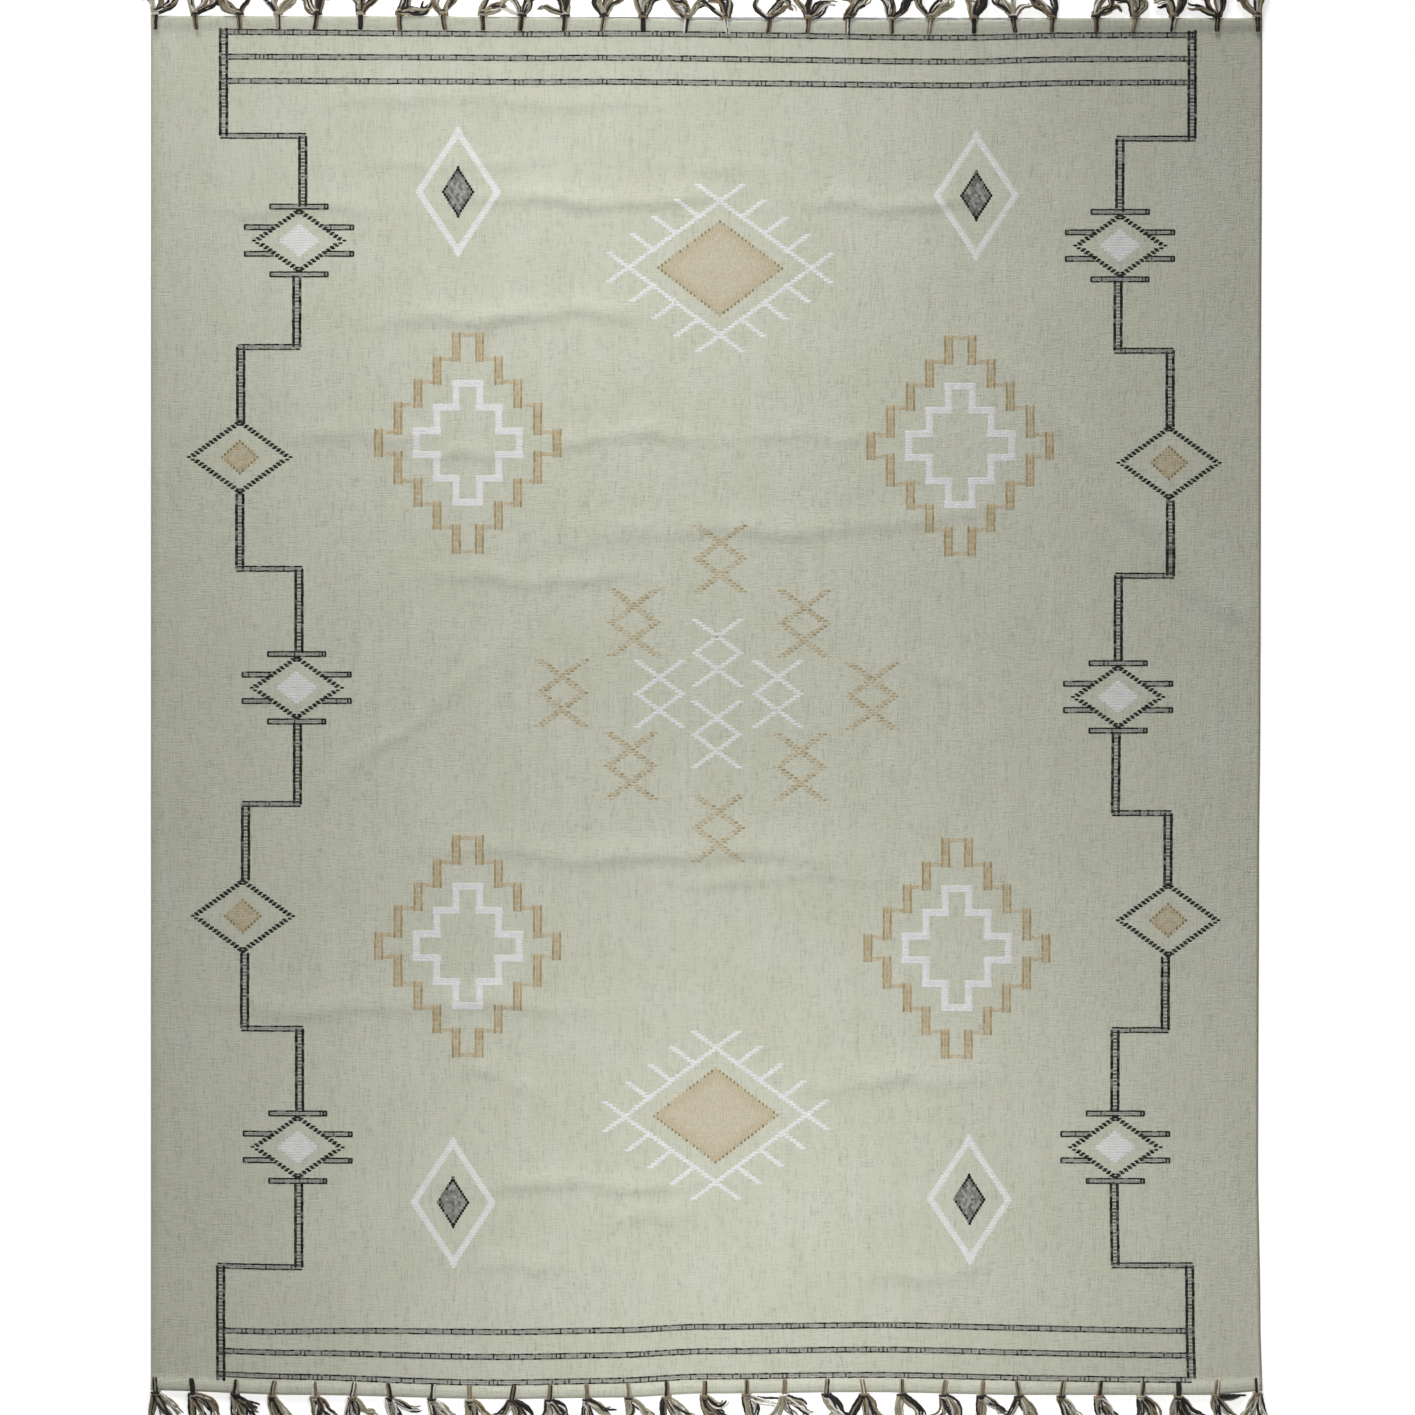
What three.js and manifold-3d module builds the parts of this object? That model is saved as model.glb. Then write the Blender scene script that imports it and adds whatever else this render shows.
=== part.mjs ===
// A flatweave rug lying flat: one hemmed cloth, with a row of looped yarn tassels along each end.
// Millimetres, +Z up. X runs across the rug, +Y along it, and the floor is Z = 0.
import * as THREE from 'three';
import { mergeGeometries, mergeVertices } from 'three/addons/utils/BufferGeometryUtils.js';
import Module from 'manifold-3d';

const wasm = await Module();
wasm.setup();

// Cloth
const CLOTH_WIDTH = 2440;
const CLOTH_LENGTH = 3022;
const CLOTH_THICKNESS = 4;
const HEM_WIDTH = 25;
const HEM_THICKNESS = 7;
const HEM_RAMP = 4;
const HEM_ROUNDING = 2;
const COLUMNS = 15;
const PLAIN_ROW_STEP = 120;
const ROW_GAP = 8;
const FOLD_FOOT = 0.8;
const LEVEL_TURN = 10;

// Clearance kept between pieces that touch in use, and how far a cutter runs past what it cuts
const CLEARANCE = 0.3;
const OVERCUT = 10;
const MERGE_DISTANCE = 1e-3;

// Shares that spread repeated pieces unevenly, and the same way each time
const ITEM_SPREAD = 0.618034;
const TRAIT_SPREAD = 0.414214;

// Tassels
const FAR_TASSELS = 28;
const NEAR_TASSELS = 29;
const TASSEL_MARGIN = 11;
const TASSEL_JITTER = 5;
const HOLE_INSET = 28;
const YARN_DEPTH = 4.6;
const YARN_WIDTH = 9;
const LEG_THICKNESS = 2.6;
const KNOT_WIDTH = 19;
const KNOT_REACH = 17;
const KNOT_HEIGHT = 11;
const KNOT_TOP_SHARE = 0.62;
const KNOT_SIDES = 6;
const LOCKS = 4;
const LOCK_SIDES = 3;
const LOCK_STEPS = 3;
const LOCK_LENGTH = 72;
const LOCK_LENGTH_SPREAD = 12;
const LOCK_ROOT_WIDTH = 4.6;
const LOCK_TIP_WIDTH = 3.4;
const LOCK_HEIGHT = 4.4;
const LOCK_TIP_HEIGHT = 2.8;
const LOCK_SPACING = 3.6;
const LOCK_START = 11;
const LOCK_FAN = THREE.MathUtils.degToRad(13);
const LOCK_STRAIGHTENING = 0.45;
const FAR_LEAN = THREE.MathUtils.degToRad(14);
const NEAR_LEAN = THREE.MathUtils.degToRad(-28);
const LEAN_SPREAD = THREE.MathUtils.degToRad(12);
const CORNER_LEAN = THREE.MathUtils.degToRad(24);

// How far each end of the cloth reaches from the middle, across its width
const FAR_EDGE = [
  { across: -1220, reach: 1515 },
  { across: -640, reach: 1514 },
  { across: -310, reach: 1511 },
  { across: 100, reach: 1505 },
  { across: 560, reach: 1505 },
  { across: 800, reach: 1510 },
  { across: 1220, reach: 1510 },
];
const NEAR_EDGE = [
  { across: -1220, reach: 1502 },
  { across: -900, reach: 1512 },
  { across: -440, reach: 1521 },
  { across: -200, reach: 1518 },
  { across: 0, reach: 1509 },
  { across: 350, reach: 1506 },
  { across: 700, reach: 1512 },
  { across: 1100, reach: 1512 },
  { across: 1220, reach: 1504 },
];

// How far the right selvedge draws in, along the length
const RIGHT_DRAW_IN = [
  { along: -1511, inset: 0 },
  { along: -1350, inset: 4 },
  { along: -1000, inset: 9 },
  { along: -350, inset: 7 },
  { along: 0, inset: 4 },
  { along: 500, inset: 3 },
  { along: 1511, inset: 0 },
];

// Soft folds left from packing: the middle of each, its half length, half width, rise and turn
const FOLDS = [
  { x: -420, y: 1328, half: 420, width: 40, rise: 1.6, turn: 0 },
  { x: -250, y: 1110, half: 260, width: 42, rise: 3.4, turn: 0 },
  { x: 420, y: 1104, half: 200, width: 42, rise: 2.8, turn: 0 },
  { x: -400, y: 859, half: 240, width: 42, rise: 3.4, turn: 1 },
  { x: -450, y: 590, half: 470, width: 42, rise: 2.8, turn: 0 },
  { x: 180, y: 392, half: 420, width: 46, rise: 2.2, turn: 3 },
  { x: -360, y: 280, half: 230, width: 42, rise: 2.8, turn: 0 },
  { x: -120, y: -326, half: 420, width: 46, rise: 3.2, turn: -1 },
  { x: -640, y: -658, half: 440, width: 46, rise: 1.8, turn: 0 },
  { x: 420, y: -824, half: 180, width: 48, rise: 2.6, turn: 4 },
  { x: -260, y: -1048, half: 240, width: 44, rise: 2.4, turn: 0 },
  { x: 900, y: 480, half: 370, width: 60, rise: 3.4, turn: -47 },
];

const SAGE = 0xbcbea9;
const CAMEL = 0xa98a5f;
const CHARCOAL = 0x3a3632;
const CREAM = 0xd8d4c8;

// A value read from a table by one named column, eased between its rows
function fromTable(rows, key, value, at) {
  const last = rows.length - 1;
  if (at <= rows[0][key]) return rows[0][value];
  if (at >= rows[last][key]) return rows[last][value];
  const next = rows.findIndex((row) => row[key] > at);
  const low = rows[next - 1];
  const high = rows[next];
  const share = THREE.MathUtils.smoothstep(at, low[key], high[key]);
  return THREE.MathUtils.lerp(low[value], high[value], share);
}

// A repeatable spread from -1 to 1 for the item and the trait given
function uneven(item, trait) {
  const spread = item * ITEM_SPREAD + trait * TRAIT_SPREAD;
  return 2 * (spread - Math.floor(spread)) - 1;
}

// A closed geometry as a solid, and back
function solid(geometry) {
  const bare = geometry.clone();
  bare.deleteAttribute('normal');
  bare.deleteAttribute('uv');
  const merged = mergeVertices(bare, MERGE_DISTANCE);
  return new wasm.Manifold(new wasm.Mesh({
    numProp: 3,
    vertProperties: new Float32Array(merged.attributes.position.array),
    triVerts: new Uint32Array(merged.index.array),
  }));
}

function geometryOf(body) {
  const mesh = body.getMesh();
  const geometry = new THREE.BufferGeometry();
  geometry.setAttribute('position', new THREE.BufferAttribute(mesh.vertProperties, 3));
  geometry.setIndex(new THREE.BufferAttribute(mesh.triVerts, 1));
  geometry.computeVertexNormals();
  return geometry;
}

// Moves every point of a geometry by a function of its place
function reshape(geometry, place) {
  const points = geometry.attributes.position;
  const point = new THREE.Vector3();
  for (let i = 0; i < points.count; i += 1) {
    point.fromBufferAttribute(points, i);
    place(point);
    points.setXYZ(i, point.x, point.y, point.z);
  }
  return geometry;
}

// Rise of the cloth over its soft folds
function foldRise(x, y) {
  let rise = 0;
  for (const fold of FOLDS) {
    const turn = THREE.MathUtils.degToRad(fold.turn);
    const dx = x - fold.x;
    const dy = y - fold.y;
    const along = (dx * Math.cos(turn) + dy * Math.sin(turn)) / fold.half;
    const across = (dy * Math.cos(turn) - dx * Math.sin(turn)) / fold.width;
    rise += fold.rise * Math.exp(-across * across) * Math.exp(-(along ** 4));
  }
  return rise;
}

// Rows of the cloth's grid along its length: each hem's steps, each fold's crest and feet, and plain rows
function clothRows() {
  const end = CLOTH_LENGTH / 2;
  const hem = [0, HEM_ROUNDING, HEM_WIDTH - HEM_RAMP, HEM_WIDTH, 2 * HEM_WIDTH];
  const rows = hem.flatMap((depth) => [end - depth, depth - end]);
  const innermost = end - hem[hem.length - 1];
  for (const fold of FOLDS.filter((row) => Math.abs(row.turn) < LEVEL_TURN)) {
    const foot = FOLD_FOOT * fold.width;
    rows.push(fold.y - foot, fold.y, fold.y + foot);
  }
  const steps = Math.ceil((2 * innermost) / PLAIN_ROW_STEP);
  for (let i = 1; i < steps; i += 1) {
    const y = -innermost + (i * 2 * innermost) / steps;
    if (rows.every((row) => Math.abs(row - y) > PLAIN_ROW_STEP / 3)) rows.push(y);
  }
  rows.sort((a, b) => a - b);
  return rows.filter((row, i) => Math.abs(row) >= innermost || row - rows[i - 1] > ROW_GAP);
}

// Where the cloth's end lies at a place across it, straight between the grid's columns
function endReach(edge, x) {
  const step = CLOTH_WIDTH / COLUMNS;
  const column = Math.min(COLUMNS - 1, Math.floor((x + CLOTH_WIDTH / 2) / step));
  const left = -CLOTH_WIDTH / 2 + column * step;
  const low = fromTable(edge, 'across', 'reach', left);
  const high = fromTable(edge, 'across', 'reach', left + step);
  return THREE.MathUtils.lerp(low, high, (x - left) / step);
}

// The cloth before its tassel holes: a thin slab, its ends thickened by the turned hem
function plainCloth() {
  const rows = clothRows();
  const steps = rows.length - 1;
  const slab = new THREE.BoxGeometry(CLOTH_WIDTH, steps, 1, COLUMNS, steps, 1);
  return reshape(slab, (point) => {
    const flatX = point.x;
    const flatY = rows[Math.round(point.y + steps / 2)];
    const onTop = point.z > 0;
    const end = CLOTH_LENGTH / 2;
    const depth = end - Math.abs(flatY);
    const hemShare = 1 - THREE.MathUtils.smoothstep(depth, HEM_WIDTH - HEM_RAMP, HEM_WIDTH);
    const edge = flatY > 0 ? FAR_EDGE : NEAR_EDGE;
    const reach = fromTable(edge, 'across', 'reach', flatX);
    const drawIn = fromTable(RIGHT_DRAW_IN, 'along', 'inset', flatY);
    point.x = flatX - drawIn * (0.5 + flatX / CLOTH_WIDTH);
    point.y = flatY + Math.sign(flatY) * (reach - end) * (Math.abs(flatY) / end) ** 2;
    point.z = 0;
    if (onTop) {
      point.z = THREE.MathUtils.lerp(CLOTH_THICKNESS, HEM_THICKNESS, hemShare);
      point.z += foldRise(flatX, flatY) * (1 - hemShare);
      if (depth < HEM_ROUNDING / 2) point.z -= HEM_ROUNDING;
    }
  });
}

// A slot through the cloth with a groove under the hem, where one tassel's yarn passes
function yarnPassage() {
  const groove = LEG_THICKNESS + CLEARANCE;
  const inner = -HOLE_INSET - YARN_DEPTH - 2 * CLEARANCE;
  const outside = OVERCUT;
  const above = HEM_THICKNESS + OVERCUT;
  const below = -OVERCUT;
  const section = new THREE.Shape([
    new THREE.Vector2(inner, below),
    new THREE.Vector2(outside, below),
    new THREE.Vector2(outside, groove),
    new THREE.Vector2(-HOLE_INSET, groove),
    new THREE.Vector2(-HOLE_INSET, above),
    new THREE.Vector2(inner, above),
  ]);
  return acrossRug(section, YARN_WIDTH + 2 * CLEARANCE);
}

// A section drawn outward (Y) and up (Z), given a width across the rug (X)
function acrossRug(section, width) {
  const bar = new THREE.ExtrudeGeometry(section, { depth: width, bevelEnabled: false, curveSegments: 2 });
  bar.translate(0, 0, -width / 2);
  return reshape(bar, (point) => point.set(point.z, point.x, point.y));
}

// The loop of yarn that runs over the hem, down its hole and back under the hem
function yarnLoop() {
  const inner = -HOLE_INSET - CLEARANCE;
  const outer = inner - YARN_DEPTH;
  const top = HEM_THICKNESS + CLEARANCE;
  const knotMiddle = 2 * CLEARANCE + KNOT_REACH / 2;
  const loop = new THREE.Shape([
    new THREE.Vector2(outer, 0),
    new THREE.Vector2(knotMiddle, 0),
    new THREE.Vector2(knotMiddle, top + LEG_THICKNESS),
    new THREE.Vector2(outer + LEG_THICKNESS / 2, top + LEG_THICKNESS),
    new THREE.Vector2(outer, top),
  ]);
  loop.holes.push(new THREE.Path([
    new THREE.Vector2(inner, LEG_THICKNESS),
    new THREE.Vector2(inner, top),
    new THREE.Vector2(2 * CLEARANCE, top),
    new THREE.Vector2(2 * CLEARANCE, LEG_THICKNESS),
  ]));
  return acrossRug(loop, YARN_WIDTH);
}

// The knot just outside the edge, standing on the floor
function knot() {
  const drum = new THREE.CylinderGeometry(KNOT_TOP_SHARE, 1, 1, KNOT_SIDES, 1);
  return reshape(drum, (point) => point.set(
    point.x * (KNOT_WIDTH / 2),
    2 * CLEARANCE + (KNOT_REACH / 2) * (1 - point.z),
    KNOT_HEIGHT * (point.y + 0.5),
  ));
}

// One loose lock of yarn: a tapering strand, flat underneath, that fans out and then straightens
function lock(place, index) {
  const fromMiddle = index - (LOCKS - 1) / 2;
  const heading = LOCK_FAN * fromMiddle + place.lean;
  const length = LOCK_LENGTH + LOCK_LENGTH_SPREAD * uneven(place.number * LOCKS + index, 2);
  const strand = new THREE.CylinderGeometry(1, 1, 1, LOCK_SIDES, LOCK_STEPS);
  return reshape(strand, (point) => {
    const share = point.y + 0.5;
    const width = THREE.MathUtils.lerp(LOCK_ROOT_WIDTH, LOCK_TIP_WIDTH, share);
    const height = THREE.MathUtils.lerp(LOCK_HEIGHT, LOCK_TIP_HEIGHT, share);
    const side = (point.x * width) / Math.sqrt(3);
    const lift = (point.z + 0.5) / 1.5;
    const bowed = share - LOCK_STRAIGHTENING * share * share;
    const onward = Math.cos(heading) * share + (1 - Math.cos(heading)) * 0.5 * share * share;
    const turned = heading * (1 - share);
    point.x = LOCK_SPACING * fromMiddle + length * Math.sin(heading) * bowed + side * Math.cos(turned);
    point.y = LOCK_START + length * onward - side * Math.sin(turned);
    point.z = lift < 0.01 ? 0 : lift * height;
  });
}

// One tassel about its own place on the edge: Y runs outward from the hem
function tasselSolid(place) {
  let body = solid(yarnLoop()).add(solid(knot()));
  for (let i = 0; i < LOCKS; i += 1) body = body.add(solid(lock(place, i)));
  return geometryOf(body);
}

// The places of one end's tassels, about evenly spaced, leaning to one side, the corner ones inward
function tasselPlaces(end) {
  const span = CLOTH_WIDTH - 2 * TASSEL_MARGIN;
  const places = [];
  for (let i = 0; i < end.count; i += 1) {
    const number = i + end.offset;
    const corner = i === 0 ? -1 : Number(i === end.count - 1);
    const jitter = corner ? 0 : TASSEL_JITTER * uneven(number, 0);
    const lean = corner ? -corner * Math.cos(end.turn) * CORNER_LEAN : end.lean + LEAN_SPREAD * uneven(number, 1);
    const x = -span / 2 + (i * span) / (end.count - 1) + jitter;
    places.push({ x, y: endReach(end.edge, x), number, lean });
  }
  return places;
}

const ENDS = [
  { name: 'far', count: FAR_TASSELS, edge: FAR_EDGE, turn: 0, offset: 1, lean: FAR_LEAN },
  { name: 'near', count: NEAR_TASSELS, edge: NEAR_EDGE, turn: Math.PI, offset: 101, lean: NEAR_LEAN },
];

const rug = new THREE.Group();
const passages = [];
const yarnColours = [CAMEL, CHARCOAL, CREAM, SAGE];

for (const end of ENDS) {
  tasselPlaces(end).forEach((place, i) => {
    const turned = new THREE.Matrix4().makeRotationZ(end.turn);
    turned.setPosition(place.x, Math.cos(end.turn) * place.y, 0);
    passages.push(yarnPassage().applyMatrix4(turned));
    const tassel = new THREE.Mesh(
      tasselSolid(place),
      new THREE.MeshStandardMaterial({
        color: yarnColours[i % yarnColours.length],
        roughness: 0.9,
        metalness: 0,
      }),
    );
    tassel.name = `tassel_${end.name}_${String(i + 1).padStart(2, '0')}`;
    tassel.geometry.applyMatrix4(turned);
    rug.add(tassel);
  });
}

const cloth = new THREE.Mesh(
  geometryOf(solid(plainCloth()).subtract(solid(mergeGeometries(passages)))),
  new THREE.MeshStandardMaterial({ color: SAGE, roughness: 0.92, metalness: 0 }),
);
cloth.name = 'cloth';
rug.add(cloth);

export default rug;
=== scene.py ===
"""A flatweave rug lying flat: sage cloth, inlaid lozenge figures, a stepped border and knotted tassels."""
import math

import bpy
import numpy as np
from bpy.props import FloatProperty, FloatVectorProperty, IntProperty, PointerProperty
from bpy.types import Operator, Panel, PropertyGroup
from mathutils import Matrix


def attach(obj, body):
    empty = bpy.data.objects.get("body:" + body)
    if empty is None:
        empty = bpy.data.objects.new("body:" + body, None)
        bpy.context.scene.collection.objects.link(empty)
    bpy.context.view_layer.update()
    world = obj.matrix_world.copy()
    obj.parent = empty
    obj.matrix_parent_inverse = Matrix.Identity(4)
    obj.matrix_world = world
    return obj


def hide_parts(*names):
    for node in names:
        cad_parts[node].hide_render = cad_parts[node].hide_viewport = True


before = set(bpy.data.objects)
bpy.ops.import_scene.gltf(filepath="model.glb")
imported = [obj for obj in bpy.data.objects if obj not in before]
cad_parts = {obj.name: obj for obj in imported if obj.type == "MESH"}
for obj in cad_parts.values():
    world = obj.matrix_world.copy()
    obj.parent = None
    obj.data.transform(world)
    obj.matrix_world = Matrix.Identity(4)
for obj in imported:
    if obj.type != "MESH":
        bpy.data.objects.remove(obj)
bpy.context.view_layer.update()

bl_info = {
    "name": "Flatweave Rug",
    "version": (1, 0, 0),
    "blender": (4, 5, 0),
    "location": "3D View > Sidebar > Rug",
    "description": "Weaves a flat rug with inlaid figures and ties its tassels",
    "category": "Object",
}

MM = 0.001
BODY = "root"

# Cloth, in millimetres, as its solid has it but for the ramp, which is softer here
WIDTH = 2440.0
LENGTH = 3022.0
END = LENGTH / 2
HEM_WIDTH = 25.0
HEM_RAMP = 12.0
EDGE_ROUNDING = 2.0
EDGE_COLUMNS = 15

# How far each end reaches from the middle: across, reach
FAR_EDGE = [(-1220, 1515), (-640, 1514), (-310, 1511), (100, 1505), (560, 1505), (800, 1510), (1220, 1510)]
NEAR_EDGE = [(-1220, 1502), (-900, 1512), (-440, 1521), (-200, 1518), (0, 1509), (350, 1506), (700, 1512),
             (1100, 1512), (1220, 1504)]

# How far the right selvedge draws in: along, inset
RIGHT_DRAW_IN = [(-1511, 0), (-1350, 4), (-1000, 9), (-350, 7), (0, 4), (500, 3), (1511, 0)]

# Soft folds left from packing: x, y, half length, half width, rise, turn in degrees
FOLDS = [
    (-420, 1328, 420, 22, 1.6, 0),
    (-250, 1110, 260, 22, 3.8, 0),
    (420, 1104, 200, 22, 2.8, 0),
    (-400, 859, 240, 24, 3.6, 1),
    (-180, 592, 180, 24, 2.5, 2),
    (-532, 554, 80, 20, 2.2, 0),
    (-740, 594, 180, 24, 1.7, 0),
    (180, 392, 420, 26, 2.2, 3),
    (-360, 280, 230, 22, 2.0, 0),
    (-120, -326, 420, 26, 2.8, -1),
    (-640, -658, 440, 26, 1.8, 0),
    (420, -824, 180, 26, 2.4, 4),
    (-260, -1048, 240, 22, 2.4, 0),
    (900, 480, 370, 30, 3.4, -47),
]

# Unevenness of a fold: shares of its width, and of its rise, and how fast each waves along the crest
FOLD_WANDER = [(0.35, 4.1), (0.2, 9.7)]
FOLD_DIP = (0.2, 6.3)
FOLD_STEEPNESS = 1 / 0.7
FOLD_FAR_EASE = 0.55
FOLD_LIFT = 1.4

# Ripple of the laid cloth: rise, waves across and along, and the slower waves that bend them
RIPPLE = 0.35
RIPPLE_WAVES = (61, 83, 240, 310)

# Fainter creases of the cloth alone, with the folds' columns
CREASES = [
    (-560, 1188, 230, 18, 1.2, 1),
    (30, 1186, 150, 16, 1.0, -2),
    (-900, 1090, 200, 20, 1.6, 0),
    (-620, 840, 160, 20, 1.2, -2),
    (220, 592, 180, 18, 1.3, 0),
    (-180, 400, 140, 20, 0.7, 4),
    (-650, -40, 260, 16, 1.5, 38),
    (460, -220, 130, 16, 1.1, -55),
    (120, -380, 260, 20, 1.4, 1),
    (-420, -830, 130, 22, 1.7, -32),
    (-130, -1118, 110, 30, 2.0, 6),
    (-400, -1222, 90, 22, 1.6, 0),
    (480, -1250, 120, 24, 1.6, 5),
    (1080, 250, 160, 22, 1.6, -38),
    (530, 60, 90, 18, 1.0, -25),
]


def to_linear(code):
    """An sRGB hex colour as linear red, green, blue and alpha."""
    parts = [int(code[i:i + 2], 16) / 255 for i in (1, 3, 5)]
    return [c / 12.92 if c <= 0.04045 else ((c + 0.055) / 1.055) ** 2.4 for c in parts] + [1.0]


def colour(name, description, code):
    """A colour property with an sRGB default."""
    return FloatVectorProperty(
        name=name, description=description, subtype="COLOR", size=4, min=0, max=1, default=to_linear(code))


def length(name, description, default):
    """A length property, in metres, with its default in millimetres."""
    return FloatProperty(name=name, description=description, unit="LENGTH", default=default * MM, min=0)


class RugClothSettings(PropertyGroup):
    """Sizes and colours of the cloth"""
    thickness: length("Thickness", "Thickness of the single cloth", 4)
    hem_thickness: length("Hem", "Thickness of the turned hem", 7)
    grid_across: length("Grid across", "Spacing of the cloth's points across the rug", 17)
    grid_along: length("Grid along", "Spacing of the cloth's points along the rug", 5.2)
    rib: length("Rib", "Spacing of the warp ribs", 6.2)
    weft: length("Weft", "Spacing of the weft rows", 5.7)
    sage_light: colour("Light sage", "Main colour of the cloth", "#A7A89C")
    sage_deep: colour("Deep sage", "Turned hem, a little greyer", "#9FA095")
    sage_warm: colour("Warm sage", "Bands of warmer dye", "#A0A191")
    selvedge: colour("Selvedge", "Outermost warp at the sides", "#8F8069")


class RugFigureSettings(PropertyGroup):
    """Sizes and colours of the inlaid figures"""
    rise: length("Rise", "How far an inlaid yarn stands above the cloth", 0.8)
    row: length("Row", "Spacing of the inlay's rows", 6.0)
    black: colour("Black", "Darkest border yarn", "#1E1E1D")
    grey: colour("Grey", "Border yarn where the warp shows through", "#6F6F6A")
    grey_pale: colour("Pale grey", "Warp between the border's rails", "#B6B7AF")
    white: colour("White", "Bleached cotton", "#FAFAF9")
    white_mid: colour("Soft white", "Bleached cotton, loosely packed", "#EFF0F0")
    white_shade: colour("White shade", "Bleached cotton, thinly covered", "#CFD1D1")
    camel: colour("Camel", "Camel wool", "#C3B187")
    camel_pale: colour("Pale camel", "Camel wool, thinly covered", "#DCD1BA")
    olive: colour("Olive", "Darker camel at the figures' rims", "#8A7A52")


class RugTasselSettings(PropertyGroup):
    """Sizes and colours of the tassels"""
    yarn: length("Yarn", "Thickness of one tassel yarn", 5.4)
    strands: IntProperty(name="Strands", description="Loose yarns in each lock", default=5, min=1)
    camel: colour("Camel", "Camel yarn", "#8E7C62")
    black: colour("Black", "Black-brown yarn", "#2A2423")
    cream: colour("Cream", "Cream yarn", "#EDEAE2")
    sage: colour("Sage", "Sage yarn", "#B3AC94")


class RugStageSettings(PropertyGroup):
    """Camera, light and floor"""
    height: FloatProperty(name="Height", description="Camera above the floor", unit="LENGTH", default=9.0)
    view_width: FloatProperty(
        name="View width", description="Floor seen across the image", unit="LENGTH", default=3.107)
    floor: colour("Floor", "Matt white floor", "#F2F2F0")


# Shape of the laid cloth

def eased(rows, at):
    """Values read from a table of two columns, eased between its rows."""
    keys, values = np.array(rows, float).T
    at = np.clip(np.asarray(at, float), keys[0], keys[-1])
    i = np.clip(np.searchsorted(keys, at, side="right") - 1, 0, len(keys) - 2)
    return values[i] + (values[i + 1] - values[i]) * smooth_step(at, keys[i], keys[i + 1])


def smooth_step(at, low, high):
    """An eased rise from 0 to 1 between two places."""
    share = np.clip((at - low) / (high - low), 0, 1)
    return share * share * (3 - 2 * share)


def uneven(item, trait):
    """A repeatable spread from -1 to 1 for the item and the trait given, as the solids have it."""
    spread = item * 0.618034 + trait * 0.414214
    return 2 * (spread - math.floor(spread)) - 1


def laid(x, y):
    """Where a point of the flat cloth lies once its ends bow and its right side draws in."""
    reach = np.where(y > 0, eased(FAR_EDGE, x), eased(NEAR_EDGE, x))
    across = x - eased(RIGHT_DRAW_IN, y) * (0.5 + x / WIDTH)
    along = y + np.sign(y) * (reach - END) * (np.abs(y) / END) ** 2
    return across, along


def fold_rise(x, y):
    """Rise of the cloth over its folds and creases, each wandering a little and uneven along its crest."""
    rise = np.zeros_like(x)
    for number, (cx, cy, half, width, height, turn) in enumerate(FOLDS + CREASES):
        cos, sin = math.cos(math.radians(turn)), math.sin(math.radians(turn))
        along = ((x - cx) * cos + (y - cy) * sin) / half
        wander = sum(share * width * np.sin(speed * along + (wave + 1) * number)
                     for wave, (share, speed) in enumerate(FOLD_WANDER))
        across = ((y - cy) * cos - (x - cx) * sin + wander) / width * FOLD_STEEPNESS
        across = across * np.where(across > 0, FOLD_FAR_EASE, 1.0)
        dip, speed = FOLD_DIP
        crest = FOLD_LIFT * height * (1 - dip + dip * np.sin(speed * along + 3 * number))
        rise += crest * np.exp(-across * across) * np.exp(-along ** 4)
    return rise


def cloth_top(x, y, cloth):
    """Height of the cloth's upper face, in millimetres, over a point of the flat cloth."""
    depth = END - np.abs(y)
    hem = 1 - smooth_step(depth, HEM_WIDTH - HEM_RAMP, HEM_WIDTH + HEM_RAMP)
    single, doubled = cloth.thickness / MM, cloth.hem_thickness / MM
    wide, tall, slow_tall, slow_wide = RIPPLE_WAVES
    ripple = RIPPLE * np.sin(x / wide + 1.3 * np.sin(y / slow_tall))
    ripple = ripple * np.sin(y / tall + np.sin(x / slow_wide))
    top = single + (doubled - single) * hem + (fold_rise(x, y) + ripple) * (1 - hem)
    edge = np.minimum(depth, WIDTH / 2 - np.abs(x))
    return top - EDGE_ROUNDING * (1 - smooth_step(edge, -0.1, 2 * EDGE_ROUNDING))


# Meshes and nodes

def placed(name, data, place=(0, 0, 0)):
    """An object with the data given, in the scene at a place."""
    item = bpy.data.objects.new(name, data)
    item.location = place
    bpy.context.scene.collection.objects.link(item)
    return item


def new_piece(name, points, faces, material):
    """A mesh piece from points in millimetres, riding on the rug's one body."""
    mesh = bpy.data.meshes.new(name)
    mesh.from_pydata((np.asarray(points) * MM).tolist(), [], faces)
    mesh.validate()
    mesh.polygons.foreach_set("use_smooth", np.full(len(mesh.polygons), True))
    mesh.set_sharp_from_angle(angle=math.radians(70))
    mesh.materials.append(material)
    piece = placed(name, mesh)
    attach(piece, BODY)
    return piece


def set_values(mesh, name, values, kind="FLOAT"):
    """Stores a value or colour for each point of a mesh, for its material to read."""
    layer = mesh.attributes.new(name, kind, "POINT")
    field = "color" if kind == "FLOAT_COLOR" else "value"
    layer.data.foreach_set(field, np.asarray(values, np.float32).ravel())


def set_map(mesh, corner_places):
    """Lays a mesh's faces out on a flat map, one place for each corner."""
    layer = mesh.uv_layers.new(name="OFBake")
    layer.data.foreach_set("uv", np.asarray(corner_places, np.float32).ravel())


def corner_points(mesh):
    """The point of each face corner, and the face that it belongs to."""
    points = np.empty(len(mesh.loops), np.int32)
    mesh.loops.foreach_get("vertex_index", points)
    count = np.empty(len(mesh.polygons), np.int32)
    mesh.polygons.foreach_get("loop_total", count)
    return points, np.repeat(np.arange(len(count)), count)


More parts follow.
